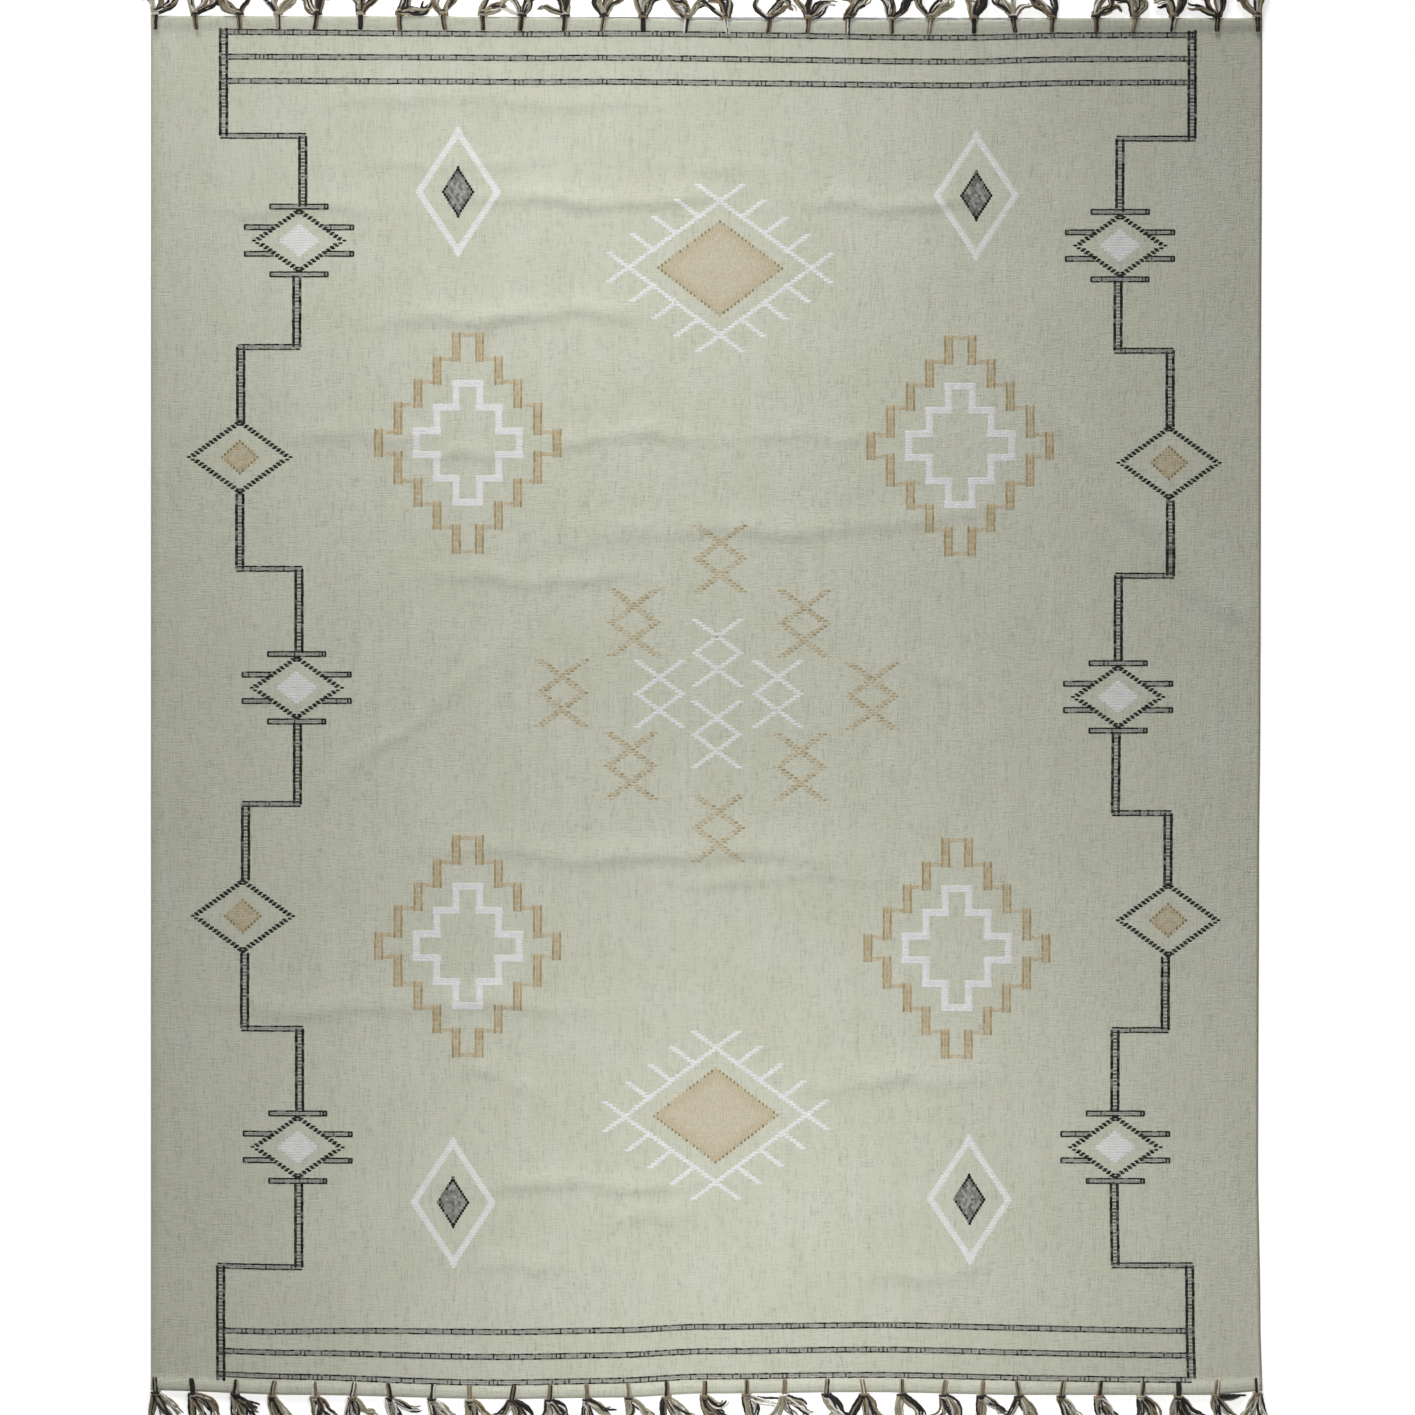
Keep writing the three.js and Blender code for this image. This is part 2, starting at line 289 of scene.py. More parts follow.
def map_from_above(mesh, points, upper_faces):
    """Maps a mesh as it is seen from above. The faces after its upper ones take a strip beside them."""
    corners, face = corner_points(mesh)
    share = (points[corners, :2] - points[:, :2].min(0)) / np.ptp(points[:, :2], axis=0)
    beside = 0.97 + 0.03 * share[:, 0]
    share[:, 0] = np.where(face < upper_faces, 0.96 * share[:, 0], beside)
    set_map(mesh, share)


def add_node(tree, kind, settings=None, links=None):
    """Adds a node. A setting named for an input, or with its number, is that input's value."""
    node = tree.nodes.new(kind)
    for key, value in (settings or {}).items():
        if isinstance(key, str) and hasattr(node, key):
            setattr(node, key, value)
        else:
            node.inputs[key].default_value = value
    for key, source in (links or {}).items():
        tree.links.new(source, node.inputs[key])
    return node


def new_material(name, roughness, sheen=0.0):
    """A material with its surface shader and the object's own coordinates."""
    material = bpy.data.materials.new(name)
    material.use_nodes = True
    tree = material.node_tree
    shader = tree.nodes["Principled BSDF"]
    shader.inputs["Roughness"].default_value = roughness
    shader.inputs["Specular IOR Level"].default_value = 0.12
    shader.inputs["Sheen Weight"].default_value = sheen
    shader.inputs["Sheen Roughness"].default_value = 0.6
    places = add_node(tree, "ShaderNodeTexCoord").outputs["Object"]
    return material, tree, shader, places


def streaks(tree, places, width, run, low=0.36, high=0.64):
    """Uneven yarn streaks, width by run millimetres across X and Y, as a factor from 0 to 1."""
    scale = (1 / (width * MM), 1 / (run * MM), 1 / (width * MM))
    stretched = add_node(tree, "ShaderNodeMapping", {"Scale": scale}, {"Vector": places})
    noise = add_node(tree, "ShaderNodeTexNoise", {"Scale": 1.0, "Detail": 2.0, "Roughness": 0.55},
                     {"Vector": stretched.outputs[0]})
    ranged = add_node(tree, "ShaderNodeMapRange", {"From Min": low, "From Max": high},
                      {"Value": noise.outputs["Fac"]})
    return ranged.outputs[0]


def blended(tree, factor, first, second, kind="MIX"):
    """Two colours mixed by a factor. Each may be a socket or a fixed value."""
    settings, links = {"data_type": "RGBA", "blend_type": kind}, {}
    for key, value in ((0, factor), (6, first), (7, second)):
        if isinstance(value, bpy.types.NodeSocket):
            links[key] = value
        else:
            settings[key] = value
    return add_node(tree, "ShaderNodeMix", settings, links).outputs[2]


def summed(tree, parts):
    """A weighted sum of factors."""
    total = None
    for socket, weight in parts:
        links = {0: socket} if total is None else {0: socket, 2: total}
        total = add_node(tree, "ShaderNodeMath", {"operation": "MULTIPLY_ADD", 1: weight}, links).outputs[0]
    return total


def bumped(tree, shader, height, depth):
    """Gives a shader a fine relief of the depth given, in millimetres."""
    bump = add_node(tree, "ShaderNodeBump", {"Strength": 1.0, "Distance": depth * MM}, {"Height": height})
    tree.links.new(bump.outputs[0], shader.inputs["Normal"])


# Materials

# Grain of spun yarn, in millimetres. Its fibres are too fine to show, so it is drawn this coarse.
SPUN_GRAIN = 2.4
TASSEL_GRAIN = 1.8


def sage_flatweave(cloth):
    """Hand-loomed sage cotton: matt, ribbed along the warp, with slubs and uneven dye that show as soft
    streaks, a greyer turned hem and a brown outermost warp. The rib and slub streaks scale the colour itself:
    partly the yarns' own uneven tone, partly painted shade of the weave's relief."""
    material, tree, shader, places = new_material("sage cotton, hand-loomed flatweave", 0.95, 0.05)
    ribs = streaks(tree, places, cloth.rib / MM / 2, 28, 0.26, 0.74)
    lines = streaks(tree, places, cloth.rib / MM / 2, 170, 0.3, 0.7)
    slubs = streaks(tree, places, 28, cloth.weft / MM / 2, 0.26, 0.74)
    fine = streaks(tree, places, SPUN_GRAIN, SPUN_GRAIN, 0.26, 0.74)
    patches = streaks(tree, places, 11, 24, 0.3, 0.7)
    dye = streaks(tree, places, 38, 420)
    cloud = streaks(tree, places, 240, 170)
    dyed = summed(tree, [(dye, 0.35), (cloud, 0.35)])
    ground = blended(tree, dyed, tuple(cloth.sage_light), tuple(cloth.sage_warm))
    # Rib and slub streaks that scale the colour: partly the yarns' own uneven tone, partly painted shade of
    # the weave's ribs and slubs, beside the bump below
    rib_tone_and_weave_shade = summed(tree, [(ribs, 0.34), (lines, 0.1), (slubs, 0.28), (fine, 0.2), (patches, 0.08)])
    shade = blended(tree, rib_tone_and_weave_shade, (0.1, 0.1, 0.06, 1), (1.9, 1.9, 1.94, 1))
    ground = blended(tree, 1.0, ground, shade, "MULTIPLY")
    hem = add_node(tree, "ShaderNodeAttribute", {"attribute_name": "hem"}).outputs["Fac"]
    hem_share = add_node(tree, "ShaderNodeMath", {"operation": "MULTIPLY", 1: 0.1}, {0: hem}).outputs[0]
    ground = blended(tree, hem_share, ground, tuple(cloth.sage_deep))
    side = add_node(tree, "ShaderNodeAttribute", {"attribute_name": "selvedge"}).outputs["Fac"]
    ground = blended(tree, side, ground, tuple(cloth.selvedge))
    tree.links.new(ground, shader.inputs["Base Color"])
    bumped(tree, shader, summed(tree, [(ribs, 0.5), (lines, 0.2), (slubs, 0.35), (fine, 0.3)]), 1.1)
    return material


def inlay_yarn(name, deep, middle, pale):
    """Loosely spun inlay yarn: matt, a little fuzzy, its colour uneven from one float to the next."""
    material, tree, shader, places = new_material(name, 0.95)
    tone = add_node(tree, "ShaderNodeAttribute", {"attribute_name": "tone"}).outputs["Fac"]
    spun = streaks(tree, places, SPUN_GRAIN, SPUN_GRAIN, 0.3, 0.7)
    lower = add_node(tree, "ShaderNodeMapRange", {"From Max": 0.5}, {"Value": tone}).outputs[0]
    upper = add_node(tree, "ShaderNodeMapRange", {"From Min": 0.5}, {"Value": tone}).outputs[0]
    yarn = blended(tree, upper, blended(tree, lower, tuple(deep), tuple(middle)), tuple(pale))
    shade = blended(tree, spun, (0.8, 0.8, 0.8, 1), (1.08, 1.08, 1.08, 1))
    tree.links.new(blended(tree, 1.0, yarn, shade, "MULTIPLY"), shader.inputs["Base Color"])
    bumped(tree, shader, spun, 0.5)
    return material


def tassel_yarn():
    """Spun wool and cotton yarns of mixed colours, matt with a soft fuzz, each its own colour."""
    material, tree, shader, places = new_material("mixed wool and cotton, spun tassel yarn", 0.9, 0.2)
    yarn = add_node(tree, "ShaderNodeAttribute", {"attribute_name": "yarn_colour"}).outputs["Color"]
    spun = streaks(tree, places, TASSEL_GRAIN, TASSEL_GRAIN, 0.3, 0.7)
    shade = blended(tree, spun, (0.72, 0.72, 0.72, 1), (1.12, 1.12, 1.12, 1))
    tree.links.new(blended(tree, 1.0, yarn, shade, "MULTIPLY"), shader.inputs["Base Color"])
    bumped(tree, shader, spun, 0.6)
    return material


# Cloth

# Depths from an edge where the cloth's points lie closer: over a hem, and at a selvedge
HEM_DEPTHS = [0, 0.8, 2, 4, 8, HEM_WIDTH - HEM_RAMP, 16, 19, 22, HEM_WIDTH, HEM_WIDTH + 4]
SELVEDGE_DEPTHS = [0, 0.8, 2, 4, 7]

# Brown of each selvedge: share of it, and the depths where it starts and where it is full
RIGHT_BROWN = (0.75, 7, 1)
LEFT_BROWN = (0.3, 12, 2)


def grid_places(full, depths, spacing):
    """Places of points along a side of the cloth, even but for the depths given at its two edges."""
    inside = np.linspace(0, 1, int(round((full - 2 * depths[-1]) / spacing)) + 1)[1:-1]
    low = np.array(depths) - full / 2
    return np.concatenate([low, low[-1] + inside * (-2 * low[-1]), -low[::-1]])


class RUG_OT_weave_cloth(Operator):
    """Weave the sage cloth with its hems, bowed ends and packing folds"""
    bl_idname = "rug.weave_cloth"
    bl_label = "Weave Cloth"

    def execute(self, context):
        cloth = context.scene.rug_cloth
        columns = grid_places(WIDTH, SELVEDGE_DEPTHS, cloth.grid_across / MM)
        rows = grid_places(LENGTH, HEM_DEPTHS, cloth.grid_along / MM)
        across, along = np.meshgrid(columns, rows)
        flat_x, flat_y = across.ravel(), along.ravel()
        x, y = laid(flat_x, flat_y)
        upper = np.stack([x, y, cloth_top(flat_x, flat_y, cloth)], 1)
        wide, tall = len(columns), len(rows)
        number = np.arange(wide * tall).reshape(tall, wide)
        corners = [number[:-1, :-1], number[:-1, 1:], number[1:, 1:], number[1:, :-1]]
        quads = np.stack(corners, -1).reshape(-1, 4)
        faces = quads.tolist()
        rim = np.concatenate([number[0, :], number[1:, -1], number[-1, -2::-1], number[-2:0:-1, 0]])
        under = len(upper) + np.arange(len(rim))
        lower = upper[rim] * (1, 1, 0)
        after = np.roll(np.arange(len(rim)), -1)
        faces += np.stack([rim[after], rim, under, under[after]], 1).tolist()
        right = wide - 1 + np.arange(tall)
        left = (len(rim) - np.arange(tall)) % len(rim)
        near_strip = [under[left[1]], under[right[1]], *under[right[0]::-1]]
        far_strip = [under[right[-2]], under[left[-2]], *under[left[-1]:right[-1] - 1:-1]]
        faces += [[int(n) for n in near_strip], [int(n) for n in far_strip]]
        for row in range(1, tall - 2):
            faces.append([int(under[n]) for n in (left[row], left[row + 1], right[row + 1], right[row])])
        points = np.concatenate([upper, lower])
        piece = new_piece("cloth_weave", points, faces, sage_flatweave(cloth))
        depth = END - np.abs(np.concatenate([flat_y, flat_y[rim]]))
        set_values(piece.data, "hem", 1 - smooth_step(depth, HEM_WIDTH - HEM_RAMP, HEM_WIDTH))
        side = np.concatenate([flat_x, flat_x[rim]])
        brown = sum(share * smooth_step(hand * side, WIDTH / 2 - start, WIDTH / 2 - full)
                    for hand, (share, start, full) in ((1, RIGHT_BROWN), (-1, LEFT_BROWN)))
        set_values(piece.data, "selvedge", brown)
        map_from_above(piece.data, points, len(quads))
        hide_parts("cloth")
        return {"FINISHED"}


# Inlaid figures

# One float of inlay yarn, as a low pad with blunt ends: along, across and up for each point
FLOAT_POINTS = np.array([
    (-1, 0, 0), (-0.88, -0.86, 0), (-0.8, 0, 0.86), (-0.88, 0.86, 0), (0, -1, 0), (0, 0, 1), (0, 1, 0),
    (0.88, -0.86, 0), (0.8, 0, 0.86), (0.88, 0.86, 0), (1, 0, 0)])
FLOAT_FACES = [
    (0, 1, 2), (0, 2, 3), (1, 4, 5, 2), (2, 5, 6, 3), (4, 7, 8, 5), (5, 8, 9, 6), (7, 10, 8), (8, 10, 9),
    (3, 6, 9, 10, 7, 4, 1, 0)]
FLOAT_SINK = 0.15


def middles(low, high, pitch):
    """Middles of the even steps, each about as long as the pitch, that fill a stretch."""
    count = max(1, round(abs(high - low) / pitch))
    return low + (np.arange(count) + 0.5) * (high - low) / count


class Inlay:
    """Yarn floats gathered on the flat cloth, in millimetres, before they become one mesh."""

    def __init__(self, seed, row):
        self.floats = []
        self.row = row
        self.centre = (0, 0)
        self.chance = np.random.default_rng(seed)

    def lay(self, x, y, run, width, tone, rise=1.0, upright=False):
        """One float: its middle from the centre, length, width, tone from 0 to 1 and share of the rise."""
        x, y = self.centre[0] + x, self.centre[1] + y
        self.floats.append((x, y, run, width, tone, rise, float(upright)))

    def tone(self, low, high):
        """A chance value between two limits."""
        return self.chance.uniform(low, high)

    def slant(self, start, end, run, cover, tone, skip_last=False):
        """A stair of floats, one to a row, from point to point, each as wide as a row times the cover."""
        (x0, y0), (x1, y1) = start, end
        steps = max(1, round(abs(y1 - y0) / self.row))
        for i in range(steps + (not skip_last)):
            share = i / steps
            wobble = self.tone(-0.9, 0.9) / cover
            self.lay(x0 + (x1 - x0) * share + wobble, y0 + (y1 - y0) * share, run * self.tone(0.94, 1.06),
                     self.row * cover, self.tone(*tone), 0.85)

    def lozenge(self, half, run, tone, rim, rise):
        """A filled lozenge of short floats, in columns as the warp shows, with darker floats at its rim."""
        for dy in middles(-half[1], half[1], self.row):
            reach = half[0] * (1 - abs(dy) / half[1])
            count = max(1, round(2 * reach / run))
            outer = max(reach - run / 2, 0)
            for i, x in enumerate(np.linspace(-outer, outer, count)):
                edge = i in (0, count - 1)
                worn = 0.65 if x < 0 else 0.9
                shade = rim if edge and self.tone(0, 1) < worn else tone
                inward = min(1.0, (reach - abs(x)) / half[0] * 3)
                reaches, widens, lifts = (1.2, 1.15, 1.5) if shade is rim else (1.5, 1.45, 1)
                self.lay(x, dy, self.row * reaches, run * widens,
                         self.tone(*shade) * (0.72 + 0.28 * inward), rise * lifts, True)

    def solid(self, half, tone):
        """A filled lozenge of floats that run the width of each row."""
        for dy in middles(-half[1], half[1], self.row):
            reach = max(half[0] * (1 - abs(dy) / half[1]), 4)
            shift = self.tone(-0.2, 0.2) * reach
            for low, high in ((-reach, shift), (shift, reach)):
                self.lay((low + high) / 2, dy, (high - low) * 1.2 + 3, self.row * 1.15, self.tone(*tone), 0.8)

    def build(self, name, material, figures, cloth):
        """Makes the floats one piece that follows the laid cloth."""
        x, y, run, width, tone, rise, upright = np.array(self.floats).T[:, :, None]
        along, across, up = FLOAT_POINTS.T[:, None, :]
        dx, dy = along * run / 2, across * width / 2
        flat_x = x + np.where(upright > 0, -dy, dx)
        flat_y = y + np.where(upright > 0, dx, dy)
        place_x, place_y = laid(flat_x, flat_y)
        height = cloth_top(flat_x, flat_y, cloth) - FLOAT_SINK
        height = height + up * (rise * figures.rise / MM + FLOAT_SINK)
        points = np.stack([place_x, place_y, height], -1).reshape(-1, 3)
        first = np.arange(len(self.floats))[:, None] * len(FLOAT_POINTS)
        faces = []
        for face in FLOAT_FACES:
            faces += (first + np.array(face)).tolist()
        piece = new_piece(name, points, faces, material)
        set_values(piece.data, "tone", np.repeat(tone.ravel(), len(FLOAT_POINTS)))
        map_from_above(piece.data, points, len(self.floats) * (len(FLOAT_FACES) - 1))


# Border bars up each side, from the far end: x, far y, near y. A gap between bars holds a lozenge.
LEFT_BARS = [
    (-1060, 1483, 1249), (-886, 1249, 1094), (-899, 943, 787), (-1022, 787, 623), (-1024, 465, 301),
    (-894, 301, 119), (-897, -40, -215), (-1011, -215, -382), (-1013, -543, -708), (-892, -708, -887),
    (-894, -1049, -1231), (-1066, -1231, -1484)]
RIGHT_BARS = [
    (1066, 1483, 1246), (908, 1246, 1085), (905, 934, 780), (1020, 780, 613), (1021, 452, 286),
    (907, 286, 99), (903, -59, -235), (1019, -235, -393), (1014, -551, -711), (904, -711, -889),
    (902, -1047, -1227), (1065, -1227, -1475)]

# Bars across each end: left x, right x, then y at five even places between them
END_BARS = [
    (-1068, 1071, (1476, 1473, 1478.5, 1472.5, 1473.5)),
    (-1068, 1071, (1422, 1421, 1425, 1419.5, 1421.5)),
    (-1068, 1071, (1369, 1368.5, 1372, 1367, 1369.5)),
    (-1070, 1068, (-1373.5, -1366, -1364, -1362.5, -1370.5)),
    (-1070, 1066, (-1418.5, -1420, -1418, -1416.5, -1424.5)),
    (-1070, 1065, (-1470, -1475.5, -1473.5, -1472.5, -1478)),
]

# Middles of the figures
BARRED_LOZENGES = [(-894, 1020), (-899, 40), (-896, -968), (909, 1011), (907, 20), (905, -968)]
PLAIN_LOZENGES = [(-1024, 546), (-1017, -461), (1018, 534), (1020, -470)]
TALL_LOZENGES = [(-545, 1127), (593, 1123), (-554, -1085), (583, -1083)]
COMB_LOZENGES = [(31, 963), (25, -899)]
MEDALLIONS = [(-523, 577), (559, 572), (-522, -526), (555, -532)]
WHITE_CROSSED = [(27, 116), (-101, 26), (159, 26), (25, -63)]
CAMEL_CROSSED = [(31, 324), (-158, 184), (216, 181), (-316, 29), (366, 22), (-164, -131), (208, -134),
                 (29, -268)]

# Sizes of the figures, in millimetres. A half, core, arm or tooth is across and along, a float, fill, rail,
# tick or closing is length and width. A crossbar is height and half length, a whisker is height and its ends.
RAIL_APART = 14.2
RAIL_PITCH = 7.6
RAIL_FLOAT = (9.8, 8.2)
RAIL_FILL = (9.0, 7.6)
BAR_RAIL_APART = 9.8
BAR_RAIL_WIDTH = 4.8
BAR_FILL_WIDTH = 6.0
BAR_TICK = (12.8, 4.6)
BAR_CLOSING = (13.8, 6.0)
CLOSING_STEP = 6.5
BEAD = 9.2
CHAIN_ROW = 5.7
CHAIN_RUN = 9.6
CHAIN_APART = 11.4
BARRED_HALF = (99, 67)
BARRED_CORE = (43, 35)
CROSSBAR = (74, 63)
WHISKER = (29, 56, 119)
PLAIN_HALF = (111, 79)
PLAIN_CORE = (42, 38)
TALL_HALF = (95, 143)
TALL_BAND = 17.0
TALL_CORE = (36, 56)
TALL_COLUMN = 6.8
CAMEL_COLUMN = 6.6
COMB_HALF = (195, 152)
COMB_ARM = (48, 31)
COMB_TOOTH = (46, 35)
COMB_TEETH = 3
COMB_CORE = (139, 106)
CROSSED_HALF = (49, 36)
SLANT_RUN = 16.5
CROSSED_RUN = 17.0
WHITE_COVER = 1.2
CAMEL_RUN = 10.0
CAMEL_COVER = 0.95
CAMEL_SHIFT = 5.8
CROSS_BAND = 15.0
CROSS_FLOAT = 26.0
FRAME_PITCH = 12.0
FRAME_RAIL_SHIFT = 7.4
FRAME_RAIL = (17, 6.4)
FRAME_FILL = (16, 11)
FRAME_OVERRUN = 5.0
FRAME_TIE_SHIFT = 2.2
FRAME_TIE_WIDTH = 6.6

# Range of tone of a well covered white yarn
BRIGHT = (0.7, 1.0)

# Stepped outlines of a medallion: reach across and along at each step
OUTER_STEPS = [(25.5, 237), (67.5, 184), (109.5, 134), (153.5, 83), (196, 24)]
INNER_STEPS = [(26, 130.5), (68, 78), (113, 26)]


def rail_tone(inlay, worn):
    """Tone of one rail float: black, or greyer where it is worn, as often as the share given."""
    return inlay.tone(0.25, 0.7) if inlay.tone(0, 1) < worn else inlay.tone(0.0, 0.16)


def rail_upright(inlay, x, low, high):
    """A border bar along the rug: two broken dark rails with grey between."""
    for y in middles(low, high, RAIL_PITCH):
        for side in (-1, 1):
            inlay.lay(x + side * RAIL_APART / 2 + inlay.tone(-0.4, 0.4), y + inlay.tone(-1, 1), *RAIL_FLOAT,
                      rail_tone(inlay, 0.18), 1.0, True)
        inlay.lay(x, y, *RAIL_FILL, inlay.tone(0.45, 1.0), 0.5)


def rail_across(inlay, x0, x1, heights, worn=0.22, closed=()):
    """A border bar across the rug, through even heights: two thin rails, grey between, closed where asked."""
    path = list(zip(np.linspace(0, 1, len(heights)), heights))
    for x in middles(x0, x1, BEAD):
        y = float(eased(path, (x - x0) / (x1 - x0)))
        for side in (-1, 1):
            inlay.lay(x, y + side * BAR_RAIL_APART / 2 + inlay.tone(-0.3, 0.3), BEAD * 1.25,
                      BAR_RAIL_WIDTH, rail_tone(inlay, worn))
        inlay.lay(x, y, BEAD * 1.1, BAR_FILL_WIDTH, inlay.tone(0.8, 1.0), 0.6)
        if inlay.tone(0, 1) < 0.4 * worn:
            inlay.lay(x, y, *BAR_TICK, inlay.tone(0.05, 0.55), 1.0, True)
    for x in closed:
        inward = math.copysign(CLOSING_STEP, (x0 + x1) / 2 - x)
        for step in range(2 if x > x0 else 1):
            inlay.lay(x + step * inward, heights[0], *BAR_CLOSING, inlay.tone(0.0, 0.12), 1.0, True)


def chain_lozenge(inlay, half):
    """A lozenge outlined by two dashes to each row."""
    steps = round(half[1] / CHAIN_ROW)
    for i in range(-steps, steps + 1):
        reach = half[0] * (1 - abs(i) / steps)
        lift = 0.4 if i >= 0 else -0.4
        for side in (-1, 1):
            for inner in (0, 1):
                x = side * (reach - inner * CHAIN_APART)
                if x * side < -CHAIN_APART / 2:
                    continue
                inlay.lay(x + inlay.tone(-0.8, 0.8), (i + lift * inner) * CHAIN_ROW, CHAIN_RUN, CHAIN_ROW,
                          inlay.tone(0.0, 0.2))


def crossed_lozenge(inlay, run, cover, *strokes):
    """A lozenge whose sides cross and run on as open arms, in strokes that each have a shift and a tone."""
    wide, tall = CROSSED_HALF
    for side in (-1, 1):
        turns = [(-side * wide, 2 * tall), (side * wide, 0), (-side * wide, -2 * tall)]
        for start, end in zip(turns, turns[1:]):
            for shift, tone in strokes:
                inlay.slant((start[0] + shift, start[1]), (end[0] + shift, end[1]), run, cover, tone,
                            end is not turns[-1])


def comb_lozenge(inlay):
    """A white lozenge whose sides run past its corners, with short teeth outside."""
    wide, tall = COMB_HALF
    for across in (-1, 1):
        for along in (-1, 1):
            corner = (across * (wide + COMB_ARM[0]), -along * COMB_ARM[1])
            tip = (-across * COMB_ARM[0], along * (tall + COMB_ARM[1]))
            inlay.slant(corner, tip, SLANT_RUN, WHITE_COVER, BRIGHT)
            for tooth in range(1, COMB_TEETH + 1):
                share = tooth / (COMB_TEETH + 1)
                foot = (across * wide * (1 - share), along * tall * share)
                end = (foot[0] + across * COMB_TOOTH[0], foot[1] + along * COMB_TOOTH[1])
                inlay.slant(foot, end, SLANT_RUN, WHITE_COVER, BRIGHT)


def stepped_outline(steps, upright, across):
    """Draws a stepped outline, symmetrical both ways, through the two functions given."""
    for sx in (-1, 1):
        for sy in (-1, 1):
            inner = 0
            for i, (reach, height) in enumerate(steps):
                across(sx * inner, sx * reach, sy * height)
                lower = steps[i + 1][1] if i + 1 < len(steps) else 0
                upright(sx * reach, sy * lower, sy * height)
                inner = reach


class RUG_OT_inlay_border(Operator):
    """Inlay the black end bars, the stepped side lines and their chain lozenges"""
    bl_idname = "rug.inlay_border"
    bl_label = "Inlay Border"

    def execute(self, context):
        cloth, figures = context.scene.rug_cloth, context.scene.rug_figures
        yarn = inlay_yarn("black wool, inlaid yarn", figures.black, figures.grey, figures.grey_pale)
        bars = Inlay(11, figures.row / MM)
        for bar in END_BARS:
            rail_across(bars, *bar, worn=0.7)
        bars.build("border_end_bars", yarn, figures, cloth)
        sides = Inlay(12, figures.row / MM)
        for path in (LEFT_BARS, RIGHT_BARS):
            for x, far, near in path:
                rail_upright(sides, x, near, far)
            for (x0, _, near), (x1, far, _) in zip(path, path[1:]):
                if near == far:
                    ends = (min(x0, x1) - RAIL_APART / 2, max(x0, x1) + RAIL_APART / 2)
                    rail_across(sides, *ends, (near, near))
        for sides.centre in BARRED_LOZENGES:
            chain_lozenge(sides, BARRED_HALF)
            for side in (-1, 1):
                y, half = side * CROSSBAR[0], CROSSBAR[1]
                rail_across(sides, -half, half, (y, y), closed=(-half, half))
                y = side * WHISKER[0]
                for hand in (-1, 1):
                    inner, outer = (hand * reach for reach in WHISKER[1:])
                    rail_across(sides, inner, outer, (y, y), closed=(outer,))
        for sides.centre in PLAIN_LOZENGES:
            chain_lozenge(sides, PLAIN_HALF)
        for sides.centre in TALL_LOZENGES:
            sides.lozenge(TALL_CORE, TALL_COLUMN, (0.5, 1.0), (0.0, 0.1), 0.5)
        sides.build("border_side_lines", yarn, figures, cloth)
        return {"FINISHED"}


class RUG_OT_inlay_white(Operator):
    """Inlay the white lozenges, combs, crossed figures and stepped crosses"""
    bl_idname = "rug.inlay_white"
    bl_label = "Inlay White Figures"

    def execute(self, context):
        cloth, figures = context.scene.rug_cloth, context.scene.rug_figures
        inlay = Inlay(21, figures.row / MM)
        for inlay.centre in BARRED_LOZENGES:
            inlay.solid(BARRED_CORE, BRIGHT)
        for inlay.centre in TALL_LOZENGES:
            self.tall_lozenge(inlay)
        for inlay.centre in COMB_LOZENGES:
            comb_lozenge(inlay)
        for inlay.centre in WHITE_CROSSED:
            crossed_lozenge(inlay, CROSSED_RUN, WHITE_COVER, (0, BRIGHT))
        for inlay.centre in MEDALLIONS:
            self.stepped_cross(inlay)
        tones = (figures.white_shade, figures.white_mid, figures.white)
        yarn = inlay_yarn("bleached cotton, inlaid yarn", *tones)
        inlay.build("figures_white", yarn, figures, cloth)
        return {"FINISHED"}

    @staticmethod
    def tall_lozenge(inlay):
        """A lozenge outlined by a solid band."""
        for dy in middles(-TALL_HALF[1], TALL_HALF[1], inlay.row):
            reach = TALL_HALF[0] * (1 - abs(dy) / TALL_HALF[1])
            band = min(TALL_BAND, 2 * reach + 5)
            for side in ((-1, 1) if reach > band / 2 else (0,)):
                x = side * (reach - band / 2)
                inlay.lay(x, dy, band * 1.1, inlay.row * 1.4, inlay.tone(*BRIGHT), 0.45)

    @staticmethod
    def stepped_cross(inlay):
        """A stepped cross outlined by a solid band."""
        def upright(x, y0, y1):
            for y in middles(min(y0, y1), max(y0, y1), inlay.row):
                inlay.lay(x, y, CROSS_BAND * 1.12, inlay.row * 1.4, inlay.tone(*BRIGHT), 0.5)

        def across(x0, x1, y):
            low, high = min(x0, x1) - CROSS_BAND / 2, max(x0, x1) + CROSS_BAND / 2
            places = middles(low, high, CROSS_FLOAT)
            for x in places:
                for row, tone in ((-1, 0.8), (0, 0.5), (1, 0.8)):
                    inlay.lay(x, y + row * CROSS_BAND / 3, (high - low) / len(places) * 1.2,
                              CROSS_BAND / 3 * 1.35, inlay.tone(tone, 1.0))

        stepped_outline(INNER_STEPS, upright, across)


